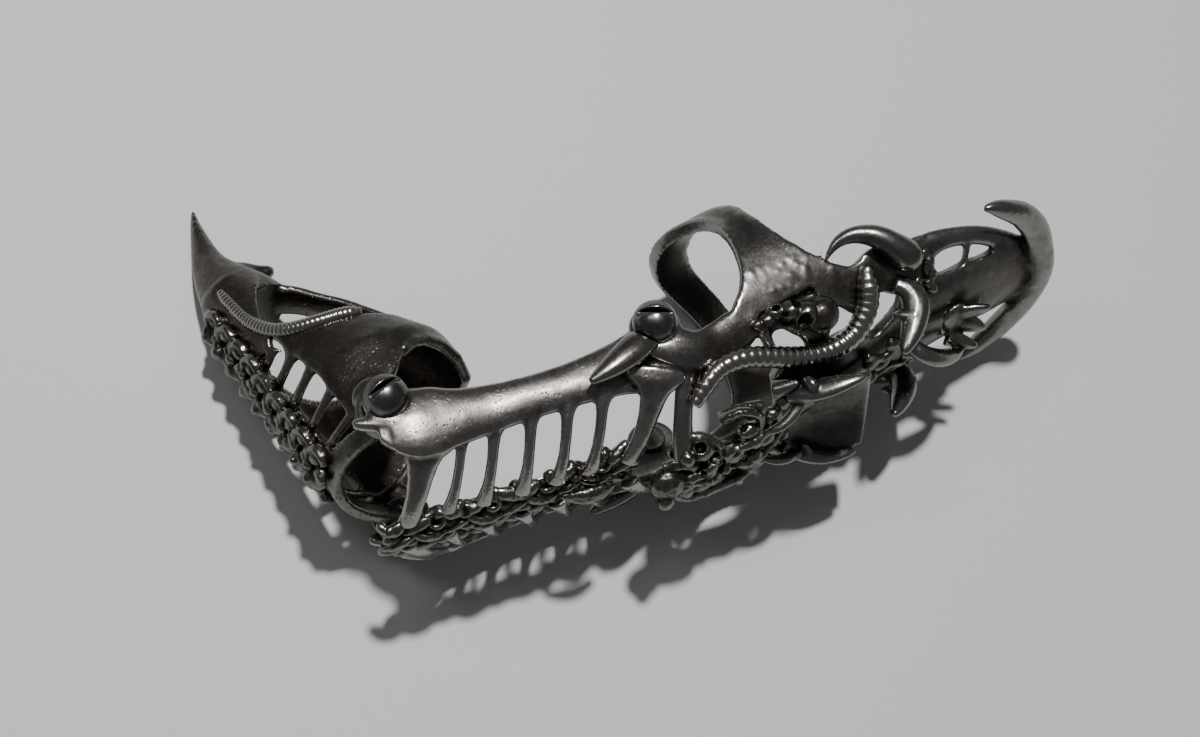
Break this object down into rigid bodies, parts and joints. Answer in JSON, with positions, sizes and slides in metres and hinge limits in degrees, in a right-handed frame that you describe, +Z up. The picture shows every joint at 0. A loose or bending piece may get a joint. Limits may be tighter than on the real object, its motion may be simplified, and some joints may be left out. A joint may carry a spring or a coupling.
{
  "type": "full-finger claw ring",
  "caption": "Full-finger armour ring: a finger band casting, a ribbed middle casting and a claw casting, hinged on ball-headed rivets.",
  "frame": {"origin": "centre of the bounding box at the surface the ring lies on", "axes": "+Z up from the surface; the claw points to -X and the finger band is on the +X half; the palm side of the finger faces +Y and leans down by 19 degrees"},
  "size_m": [0.0842, 0.0374, 0.0254],
  "materials": {
    "oxidised_silver": "cast silver, blackened in the hollows and worn bright on the edges",
    "rivet_silver": "polished silver with darkened slots"
  },
  "bodies": {
    "base": {"base_casting": "oxidised_silver", "base_rivet_near": "rivet_silver", "base_rivet_far": "rivet_silver"},
    "middle": {"middle_casting": "oxidised_silver", "claw_rivet_near": "rivet_silver", "claw_rivet_far": "rivet_silver"},
    "claw": {"claw_casting": "oxidised_silver"}
  },
  "joints": [
    {"name": "pip_hinge", "type": "hinge", "parent": "base", "child": "middle", "pos_m": [0.0023, -0.00198, 0.01287], "axis": [-0.1172, 0.3294, 0.9369], "range_deg": [-70, 3]},
    {"name": "dip_hinge", "type": "hinge", "parent": "middle", "child": "claw", "pos_m": [-0.022, -0.0097, 0.01254], "axis": [-0.1172, 0.3294, 0.9369], "range_deg": [-16, 65]}
  ]
}
